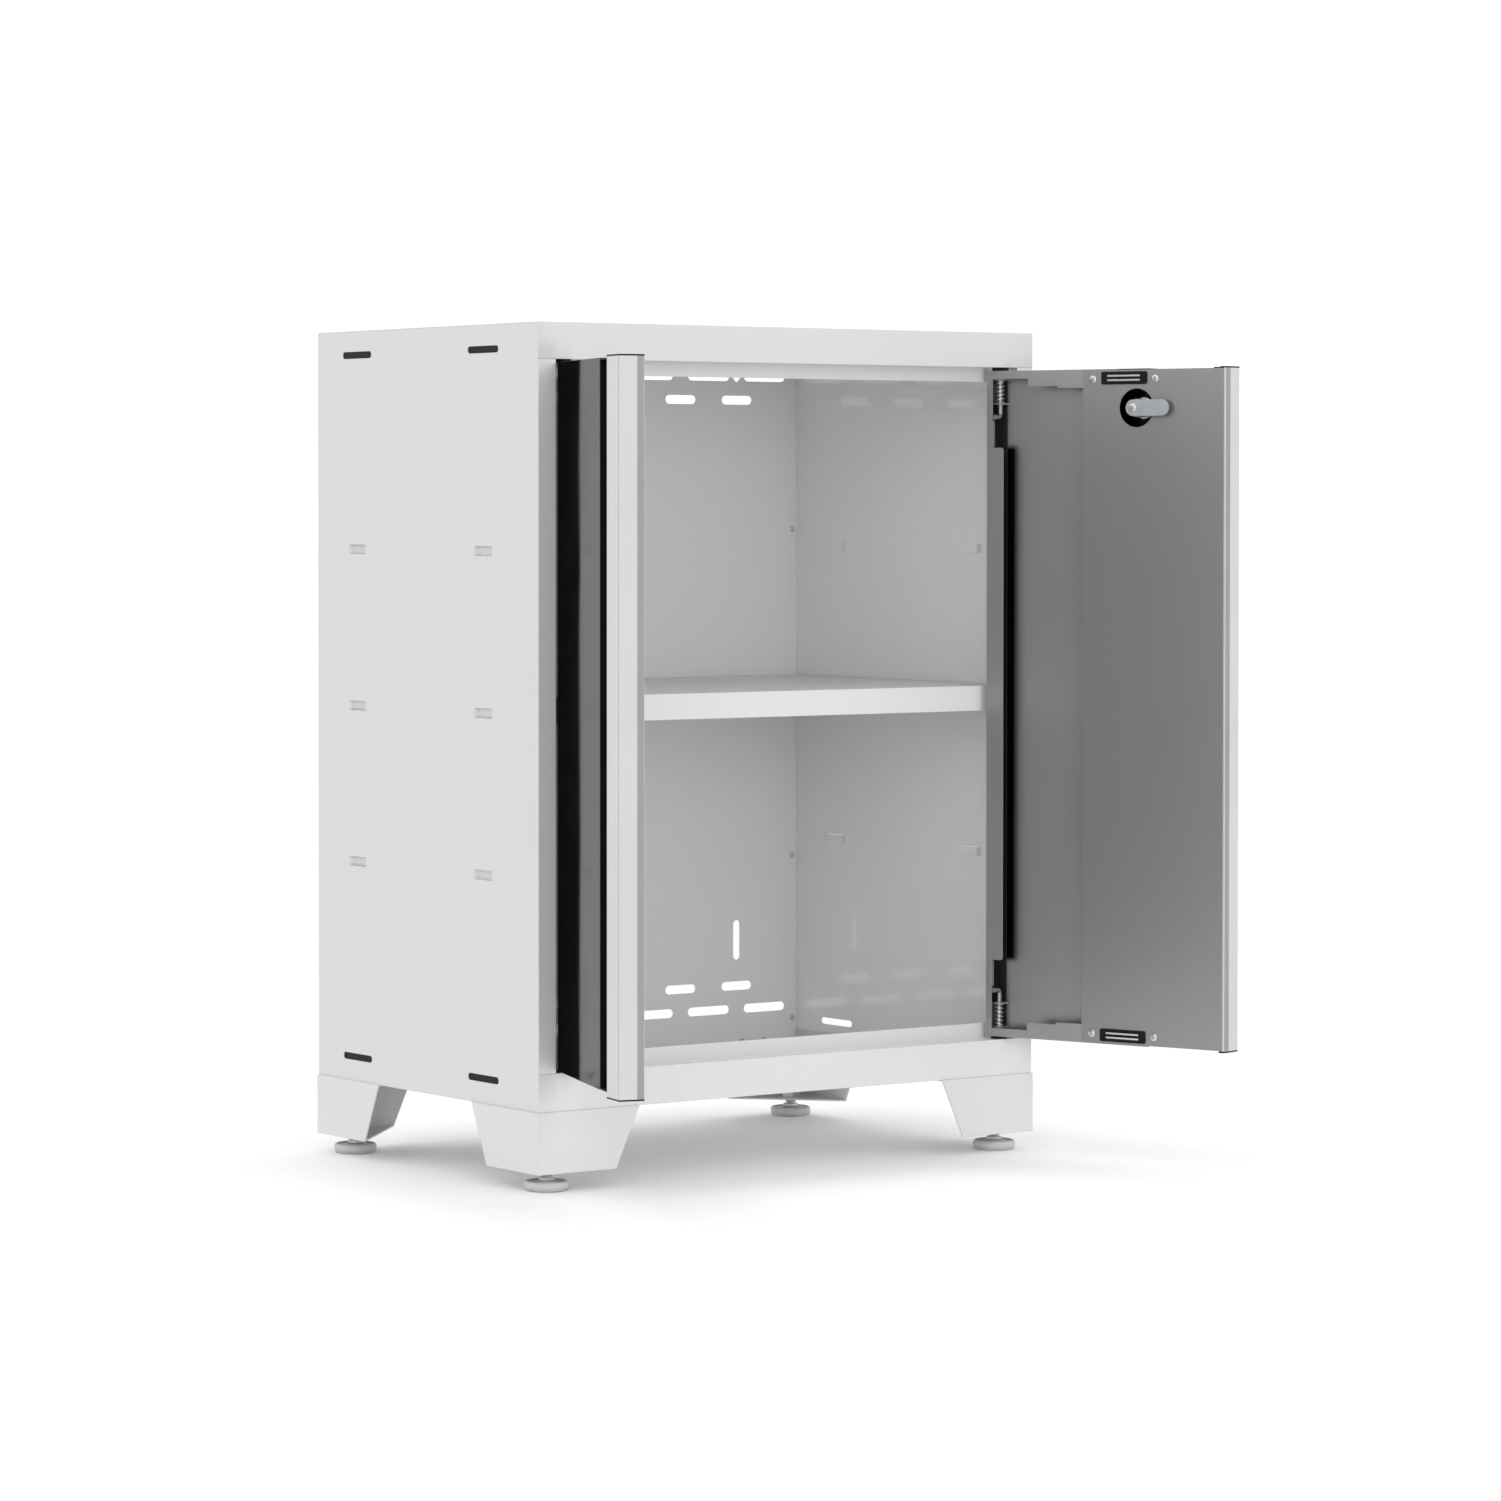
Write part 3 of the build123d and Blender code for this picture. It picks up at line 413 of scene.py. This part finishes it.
# ---- Corner legs: tapered corner brackets pressed from 1.5 mm steel sheet and coated off-white, each
# bolted under the floor panel by its top flange, with a plate for the foot.
leg_white = coated_metal("leg_coat", (0.63, 0.63, 0.625), 0.45, skin=0.45, fold=1.1)
corners = ("front_left", "front_right", "rear_left", "rear_right")
for corner in corners:
    dress("leg_" + corner, leg_white)

# ---- Leg bolts and nuts, four to a leg, and the nuts that are welded on for the feet: plain zinc-plated
# steel hardware, bought in.
for name in ("leg_bolts", "leg_nuts", "foot_weld_nuts"):
    dress(name, zinc)

# ---- Levelling feet: a pale moulded pad with a groove round its base, and a zinc stud with a rolled
# M12 thread that screws into the leg's nut. A hexagon above the pad turns it.


def moulded_plastic(name, rgb, roughness, grain=0.4, shine=0.5):
    """Injection-moulded plastic: spark-eroded grain, slight tone change, soft edges."""
    material, tree, place = new_finish(name)
    shader = tree.nodes["Principled BSDF"]
    fine = noise(tree, place, 2600).outputs["Fac"]
    cloud = noise(tree, place, 60).outputs["Fac"]
    tone = between(tree, cloud, shade(rgb, 0.9), shade(rgb, 1.08))
    tree.links.new(tone, shader.inputs["Base Color"])
    vary_gloss(tree, fine, roughness - 0.06, roughness + 0.08)
    relief(tree, fine, grain, 0.04, soft_edges(tree, 0.3))
    shader.inputs["Specular IOR Level"].default_value = shine
    return material


pad_plastic = moulded_plastic("pale_foot_plastic", (0.50, 0.50, 0.49), 0.5)
pad_profile = [
    (0, 0), (16.5, 0), (18.0, 0.15), (19.9, 0.7), (21.0, 1.6), (21.2, 2.3), (20.6, 2.6), (20.6, 2.9),
    (21.4, 3.2), (21.6, 3.9), (21.6, 7.2), (21.3, 8.3), (20.5, 9.2), (19.6, 9.5), (18.9, 9.45), (18.6, 9.2),
    (18.4, 8.15), (18.0, 8.0), (9.9, 8.0), (9.5, 8.2), (9.2, 9.3), (8.9, 9.5), (6.2, 9.5), (6.06, 9.3),
    (6.06, 6.0), (0, 6.0),
]
hex_low = 9.5
hex_high = 13.0
hex_radius = 15 / 2 / cos(pi / 6)
hex_levels = ((hex_low, 0.7), (hex_low + 0.5, 0), (hex_high - 0.5, 0), (hex_high, 0.7))
thread_pitch = 1.75
thread_root = 5.05
thread_depth = 0.93
thread_sides = 24
rows_per_pitch = 8
lower_runout = 2.0
upper_runout = 1.2


def stacked(bm, outlines):
    """Adds a closed solid through outlines with equally many points, one above another."""
    rings = [[bm.verts.new(point) for point in outline] for outline in outlines]
    count = len(rings[0])
    for lower, upper in zip(rings, rings[1:]):
        for k in range(count):
            m = (k + 1) % count
            bm.faces.new((lower[k], lower[m], upper[m], upper[k]))
    bm.faces.new(rings[-1])
    bm.faces.new(list(reversed(rings[0])))


def around(centre, level, radii):
    """One outline about an upright axis, from its level and its radius at equal turns, in millimetres."""
    outline = []
    for k, radius in enumerate(radii):
        angle = 2 * pi * k / len(radii)
        x = centre.x + radius * cos(angle) * MM
        y = centre.y + radius * sin(angle) * MM
        outline.append((x, y, centre.z + level * MM))
    return outline


def thread_radii(level, top):
    """The thread at one level: a ridge that climbs a pitch in a turn, and runs out at both ends."""
    full = max(0, min(1, (level - hex_high) / lower_runout, (top - level) / upper_runout + 0.15))
    radii = []
    for k in range(thread_sides):
        phase = (level / thread_pitch - k / thread_sides) % 1
        ridge = 1 - abs(2 * phase - 1)
        radii.append(thread_root + thread_depth * min(1, ridge * 1.15) * full)
    return radii


for corner in corners:
    low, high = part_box("foot_pad_" + corner)
    centre = Vector(((low.x + high.x) / 2, (low.y + high.y) / 2, low.z))
    bm = bmesh.new()
    turned(bm, pad_profile, centre, steps=64)
    pad = make_piece("levelling_pad_" + corner, bm, "foot_" + corner, pad_plastic, 40)
    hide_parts("foot_pad_" + corner)

    low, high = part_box("foot_stud_" + corner)
    bottom = low.z / MM
    top = high.z / MM
    rows = round((top - hex_high) / thread_pitch * rows_per_pitch)
    levels = [hex_high + (top - hex_high) * n / rows for n in range(rows + 1)]
    bm = bmesh.new()
    stacked(bm, [around(centre, level, thread_radii(level, top)) for level in levels])
    stacked(bm, [around(centre, level, [hex_radius - inset] * 6) for level, inset in hex_levels])
    collar_profile = [(0, bottom), (5.6, bottom), (6.0, bottom + 0.4), (6.0, hex_low), (0, hex_low)]
    turned(bm, collar_profile, centre, steps=32)
    stud = make_piece("levelling_stud_" + corner, bm, "foot_" + corner, zinc, 40)
    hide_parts("foot_stud_" + corner)

# ---- Hinge bushes: black nylon bushes with a flange, pressed into the ledges of the top and floor panels.
# The pins turn in them, and the doors stand on the lower two.
black_plastic = moulded_plastic("black_moulded_plastic", (0.004, 0.004, 0.004), 0.5, shine=0.22)
dress("hinge_bushes", black_plastic)

# ---- Slot covers: flat blanking plates in black moulded plastic behind the left side's four joining
# slots, bonded to the inside of the panel. Their black stands for the shade in a closed pocket behind the
# slots: painted shade.
dress("slot_covers_left", black_plastic)

# ---- Door skins: folded from 0.9 mm stainless sheet. The outside is coated a deep gloss black and is a
# little wavy; the inside is bare and satin, with painted shade in black along the hinge angle and behind
# the lock's window.


def satin_steel(name, tone, roughness, brush):
    """Brushed stainless sheet: fine upright scratches, cloudy tone and softened folds."""
    material, tree, place = new_finish(name)
    shader = tree.nodes["Principled BSDF"]
    scratches = drawn_lines(tree, place, (1500, 1500, 9), 3)
    cloud = noise(tree, place, 4).outputs["Fac"]
    mottle = between(tree, cloud, [tone * 0.94] * 3, [tone * 1.06] * 3)
    fine = tree.nodes.new("ShaderNodeMix")
    fine.data_type = "RGBA"
    fine.blend_type = "MULTIPLY"
    fine.inputs["Factor"].default_value = 0.12
    tree.links.new(mottle, fine.inputs["A"])
    tree.links.new(scratches.outputs["Color"], fine.inputs["B"])
    tree.links.new(fine.outputs["Result"], shader.inputs["Base Color"])
    vary_gloss(tree, scratches.outputs["Fac"], roughness * 0.8, roughness * 1.2)
    relief(tree, scratches.outputs["Fac"], brush, 0.02, soft_edges(tree, 0.7))
    shader.inputs["Metallic"].default_value = 0.75
    return material


open_angle = radians(joints["door_left_swing"]["range_deg"][1])
door_low, door_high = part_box("door_skin_left")
door_height = (door_high.z - door_low.z) / MM
lock_reach = 175.0
lock_level = door_height - 39.5
door_outside = coated_metal(
    "door_outer_black", (0.006, 0.006, 0.006), 0.09, skin=0.05, mottle=0.2, edge_light=0.5
)
tree = door_outside.node_tree
shader = tree.nodes["Principled BSDF"]
shader.inputs["Specular IOR Level"].default_value = 0.3
place = tree.nodes.new("ShaderNodeTexCoord").outputs["Object"]
wave = noise(tree, place, 9, 1).outputs["Fac"]
skin_direction = shader.inputs["Normal"].links[0].from_socket
relief(tree, wave, 1.0, 0.9, skin_direction)
door_inside = satin_steel("door_inner_steel", 0.405, 0.33, 0.3)


def door_point(side, u, v, w):
    """A point of a door, from its hinge edge, outer face and bottom in millimetres, where it stands open."""
    du = (u - hinge_inset) * MM
    dv = (v - hinge_inset) * MM
    x = pivot.x + du * cos(open_angle) + dv * sin(open_angle)
    y = pivot.y - du * sin(open_angle) + dv * cos(open_angle)
    return Vector((x if side == "left" else -x, y, pivot.z + w * MM))


def either_door(tree):
    """The position on a door, with X made positive so that both doors carry one pattern."""
    split = tree.nodes.new("ShaderNodeSeparateXYZ")
    tree.links.new(tree.nodes.new("ShaderNodeTexCoord").outputs["Object"], split.inputs[0])
    mirror = tree.nodes.new("ShaderNodeMath")
    mirror.operation = "ABSOLUTE"
    tree.links.new(split.outputs["X"], mirror.inputs[0])
    join = tree.nodes.new("ShaderNodeCombineXYZ")
    tree.links.new(mirror.outputs[0], join.inputs["X"])
    tree.links.new(split.outputs["Y"], join.inputs["Y"])
    tree.links.new(split.outputs["Z"], join.inputs["Z"])
    return join.outputs[0]


def measure(tree, operation, position, vector):
    """One vector step from a position to a fixed vector."""
    step = tree.nodes.new("ShaderNodeVectorMath")
    step.operation = operation
    step.inputs[1].default_value = vector
    tree.links.new(position, step.inputs[0])
    return step


def fade(tree, socket, none, full):
    """A mask that grows from nothing at one value of a socket to full at another."""
    slope = tree.nodes.new("ShaderNodeMapRange")
    slope.inputs["From Min"].default_value = none
    slope.inputs["From Max"].default_value = full
    tree.links.new(socket, slope.inputs["Value"])
    return slope.outputs[0]


def combine(tree, operation, first, second):
    """One maths step on two sockets."""
    step = tree.nodes.new("ShaderNodeMath")
    step.operation = operation
    tree.links.new(first, step.inputs[0])
    tree.links.new(second, step.inputs[1])
    return step.outputs[0]


tree = door_inside.node_tree
shader = tree.nodes["Principled BSDF"]
place = either_door(tree)
# Painted shade: the bare inside turns black within a circle round the lock and in a strip beside the hinge
# lips.
lock_point = door_point("left", lock_reach, 0.9, lock_level)
lock_place = (abs(lock_point.x), lock_point.y, lock_point.z)
from_lock = measure(tree, "DISTANCE", place, lock_place).outputs["Value"]
lock_window_shade = fade(tree, from_lock, 50 * MM, 47 * MM)
from_pivot = measure(tree, "SUBTRACT", place, (abs(pivot.x), pivot.y, pivot.z)).outputs[0]
along_door = (-cos(open_angle), -sin(open_angle), 0)
into_door = (-sin(open_angle), cos(open_angle), 0)
across = measure(tree, "DOT_PRODUCT", from_pivot, along_door).outputs["Value"]
depth = measure(tree, "DOT_PRODUCT", from_pivot, into_door).outputs["Value"]
height_split = tree.nodes.new("ShaderNodeSeparateXYZ")
tree.links.new(from_pivot, height_split.inputs[0])
height = height_split.outputs["Z"]
hinge_lip_shade = fade(tree, across, 18.5 * MM, 11.0 * MM)
for socket, none, full in ((depth, -6.0, -7.0), (height, 74, 80), (height, 608, 602)):
    hinge_lip_shade = combine(tree, "MULTIPLY", hinge_lip_shade, fade(tree, socket, none * MM, full * MM))
painted_shade_mask = combine(tree, "MAXIMUM", lock_window_shade, hinge_lip_shade)
bare = shader.inputs["Base Color"].links[0].from_socket
bare_with_painted_shade = between(tree, painted_shade_mask, bare, (0.002, 0.002, 0.002))
tree.links.new(bare_with_painted_shade, shader.inputs["Base Color"])
for side in ("left", "right"):
    name = "door_skin_" + side
    mesh = nodes[name].data
    mesh.materials.clear()
    mesh.materials.append(door_inside)
    mesh.materials.append(door_outside)
    outward = door_point(side, 0, -1, 0) - door_point(side, 0, 0, 0)
    face_level = door_point(side, 0, 0, 0).dot(outward)
    for polygon in mesh.polygons:
        on_face = abs(polygon.center.dot(outward) - face_level) < 1e-8
        if on_face and polygon.normal.dot(outward.normalized()) > 0.99:
            polygon.material_index = 1

# ---- Door pans: the inner sheets, a shallow tray of the same satin stainless, spot-welded into each skin.
# It carries the catches and stiffens the free edge.
pan_steel = satin_steel("door_pan_steel", 0.345, 0.35, 0.35)
for side in ("left", "right"):
    dress("door_pan_" + side, pan_steel)

# ---- Hinge-edge angles: an angle of 0.8 mm steel behind each door's hinge lips, from bottom to top, with
# one leg on the edge wall and the other on the skin. Its black is painted shade: it stands for the
# deep shade behind the hinge lips.
shade_black = coated_metal("hinge_shade_black", (0.006, 0.006, 0.006), 0.55, skin=0.4, edge_light=0.6)
for side in ("left", "right"):
    dress("hinge_stiffener_" + side, shade_black)

# ---- Finger channels: black moulded troughs with closed ends that the fingertips reach into. Each lies
# between the folded edge of the skin and the handle.
for side in ("left", "right"):
    dress("finger_channel_" + side, black_plastic)

# ---- Handles: full-height aluminium extrusions with a folded-over grip, satin anodised, with the faint
# lengthwise die lines of an extrusion and softly broken edges.


def anodised_aluminium(name, dark, light):
    """Satin anodised aluminium with fine lines along the extrusion."""
    material, tree, place = new_finish(name)
    shader = tree.nodes["Principled BSDF"]
    lines = drawn_lines(tree, place, (2600, 2600, 4), 3).outputs["Fac"]
    cloud = noise(tree, place, 9).outputs["Fac"]
    tone = between(tree, cloud, dark, light)
    tree.links.new(tone, shader.inputs["Base Color"])
    vary_gloss(tree, lines, 0.38, 0.52)
    relief(tree, lines, 0.25, 0.02)
    shader.inputs["Metallic"].default_value = 0.85
    return material


anodised = anodised_aluminium("satin_anodised_aluminium", (0.62, 0.62, 0.617), (0.68, 0.68, 0.677))
# The inward-leaning facet takes a darker copy of the same aluminium: painted shade.
anodised_shaded_facet = anodised_aluminium("anodised_inner_edge", (0.33, 0.33, 0.328), (0.38, 0.38, 0.378))
door_length = 278.5
door_thickness = 20.0
end_gap = 0.5
wall = 2.0
grip = door_length - 29.0
facet_start = (door_length - 0.8, 12.9)
facet_end = (door_length - 2.2, door_thickness)
# The outline in millimetres: how far from the hinge edge, and how far behind the door's outer face.
section = [
    (grip, -8.9), (door_length - 2.0, -4.897), (door_length - 1.8, -3.3), (door_length - 1.1, -3.2),
    (door_length - 0.9, -4.733), (door_length, -4.6), facet_start, facet_end,
    (door_length - 2.2 - wall, door_thickness), (door_length - 0.8 - wall, 12.9),
    (door_length - wall, 10.3), (door_length - wall - 14.0, 10.3), (door_length - wall - 14.0, 8.3),
    (door_length - wall, 8.3), (door_length - wall, -4.6 + wall), (grip + wall, -8.9 + wall),
    (grip + wall, -8.9 + 2 * wall), (grip, -8.9 + 2 * wall),
]
rounded_corners = (0, 5, 6, 7, 17)
for side in ("left", "right"):
    bm = bmesh.new()
    foot = [bm.verts.new(door_point(side, u, v, end_gap)) for u, v in section]
    extruded = bmesh.ops.extrude_face_region(bm, geom=[bm.faces.new(foot)])["geom"]
    head = [element for element in extruded if isinstance(element, bmesh.types.BMVert)]
    bmesh.ops.translate(bm, verts=head, vec=(0, 0, (door_height - 2 * end_gap) * MM))
    rounded = [
        next(edge for edge in foot[k].link_edges if edge.other_vert(foot[k]) in head) for k in rounded_corners
    ]
    bmesh.ops.bevel(
        bm, geom=rounded, offset=0.5 * MM, offset_type="OFFSET", affect="EDGES", segments=4,
        profile=0.5, material=-1,
    )
    handle = make_piece("door_handle_bar_" + side, bm, "door_" + side, anodised, 25)
    handle.data.materials.append(anodised_shaded_facet)
    lean = door_point(side, *facet_end, 0) - door_point(side, *facet_start, 0)
    facet_normal = lean.cross(Vector((0, 0, 1))).normalized()
    for polygon in handle.data.polygons:
        if abs(polygon.normal.dot(facet_normal)) > 0.996:
            polygon.material_index = 1
    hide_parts("door_handle_" + side)

# ---- Handle end caps: thin black moulded plates that close the extrusion at both ends. They stand a
# millimetre past the ends of the door.
for side in ("left", "right"):
    dress("handle_caps_" + side, black_plastic)

# ---- Magnetic catches: a black moulded housing with two bright steel pole plates, pressed into a window
# of the door pan at the top and bottom of each door.
bright = plated_steel("bright_pole_steel", (0.72, 0.73, 0.75), 0.22, 0.3)
for side in ("left", "right"):
    dress("catch_housings_" + side, black_plastic)
    dress("catch_poles_" + side, bright)

# ---- Catch screws: small zinc-plated steel screws with pan heads and a cross recess, driven into the door
# pan, one at each end of every catch.


def cross_head(name, radius, height, shank_radius, shank_length):
    """A pan-head screw with a cross recess, standing on the origin and pointing down."""
    head = bmesh.new()
    profile = [
        (0, -shank_length), (shank_radius * 0.6, -shank_length), (shank_radius, -shank_length + 0.6),
        (shank_radius, 0), (radius - 0.15, 0), (radius, 0.15), (radius, height * 0.45),
        (radius * 0.94, height * 0.72), (radius * 0.8, height * 0.9), (radius * 0.55, height * 0.98),
        (0, height),
    ]
    turned(head, profile, Vector((0, 0, 0)), steps=36)
    bmesh.ops.recalc_face_normals(head, faces=head.faces)
    body_mesh = bpy.data.meshes.new(name + "_blank")
    head.to_mesh(body_mesh)
    head.free()
    blank = bpy.data.objects.new(name + "_blank", body_mesh)
    cut = bmesh.new()
    arm = radius * 0.66
    half_width = radius * 0.18
    for turn in (0, pi / 2):
        blade = bmesh.ops.create_cube(cut, size=2)["verts"]
        for vert in blade:
            level, reach_out = (height + 1, arm * 1.15) if vert.co.z > 0 else (height * -0.1, arm * 0.45)
            vert.co = Vector((vert.co.x * reach_out, vert.co.y * half_width, level)) * MM
        bmesh.ops.rotate(cut, verts=blade, matrix=Matrix.Rotation(turn, 3, "Z"))
    cutter_mesh = bpy.data.meshes.new(name + "_cutter")
    cut.to_mesh(cutter_mesh)
    cut.free()
    cutter = bpy.data.objects.new(name + "_cutter", cutter_mesh)
    scene.collection.objects.link(blank)
    scene.collection.objects.link(cutter)
    boolean = blank.modifiers.new("recess", "BOOLEAN")
    boolean.operation = "DIFFERENCE"
    boolean.solver = "EXACT"
    boolean.use_self = True
    boolean.object = cutter
    bpy.context.view_layer.update()
    finished = bpy.data.meshes.new_from_object(blank.evaluated_get(bpy.context.evaluated_depsgraph_get()))
    bpy.data.objects.remove(blank)
    bpy.data.objects.remove(cutter)
    return finished


def set_screw(bm, template, place, outward, turn):
    """Adds a copy of a screw to a bmesh, seated at a point and facing outward."""
    stand = outward.to_track_quat("Z", "Y").to_matrix().to_4x4() @ Matrix.Rotation(turn, 4, "Z")
    stand.translation = place
    copy = template.copy()
    copy.transform(stand)
    bm.from_mesh(copy)
    bpy.data.meshes.remove(copy)


catch_screw = cross_head("catch_screw", radius=4.0, height=1.8, shank_radius=1.9, shank_length=5.5)
catch_screw_reach = (125.2, 196.8)
catch_screw_inset = 10.3
for side in ("left", "right"):
    bm = bmesh.new()
    inward = (door_point(side, 0, 1, 0) - door_point(side, 0, 0, 0)).normalized()
    for k, u in enumerate(catch_screw_reach):
        for j, w in enumerate((catch_screw_inset, door_height - catch_screw_inset)):
            seat = door_point(side, u, door_thickness, w)
            turn = 0.4 + 0.9 * k + 0.5 * j
            set_screw(bm, catch_screw, seat, inward, turn)
    screws = make_piece("catch_screw_heads_" + side, bm, "door_" + side, bright, 40)
    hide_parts("catch_screws_" + side)

# ---- Hinge pins: 5 mm zinc-plated steel pins, bent over at the tail, with their coil springs and the
# folded brackets that guide them. Drawing a pin back shortens its spring and lets the door lift out.
galvanised = plated_steel("galvanised_sheet", (0.62, 0.63, 0.64), 0.42, 0.3)
pin_steel = plated_steel("drawn_pin_steel", (0.40, 0.40, 0.41), 0.3, 0.3)
spring_steel = plated_steel("spring_wire", (0.86, 0.86, 0.86), 0.3, 0.2)
for side in ("left", "right"):
    dress("pin_brackets_" + side, galvanised)
    for end in ("bottom", "top"):
        dress("hinge_pin_" + end + "_" + side, pin_steel)
        name = "hinge_spring_" + end + "_" + side
        dress(name, spring_steel)
        low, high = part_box(name)
        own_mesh(frame["nodes"][name])

# ---- Cam lock: a nickel-plated barrel in the right door, clamped from inside by a zinc-plated nut. Its
# nickel-plated plug turns a flat zinc-plated cam.
nickel = plated_steel("nickel_plate", (0.70, 0.69, 0.67), 0.18, 0.15)
cam_zinc = plated_steel("cam_zinc_plate", (0.58, 0.60, 0.62), 0.34, 0.5)
dress("lock_barrel", nickel)
dress("lock_plug", nickel)
dress("lock_nut", zinc)
dress("lock_cam", cam_zinc)

# ---- Cam screw: a zinc-plated pan-head screw with a cross recess, on the axis of the lock. It holds the
# cam on the plug and turns with it.
cam_screw = cross_head("cam_screw", radius=4.4, height=2.2, shank_radius=2.0, shank_length=8.0)
cam_face = 27.5
bm = bmesh.new()
inward = (door_point("right", 0, 1, 0) - door_point("right", 0, 0, 0)).normalized()
set_screw(bm, cam_screw, door_point("right", lock_reach, cam_face, lock_level), inward, 0.6)
screw = make_piece("cam_screw_head", bm, "lock", bright, 40)
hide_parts("lock_cam_screw")

low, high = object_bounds()
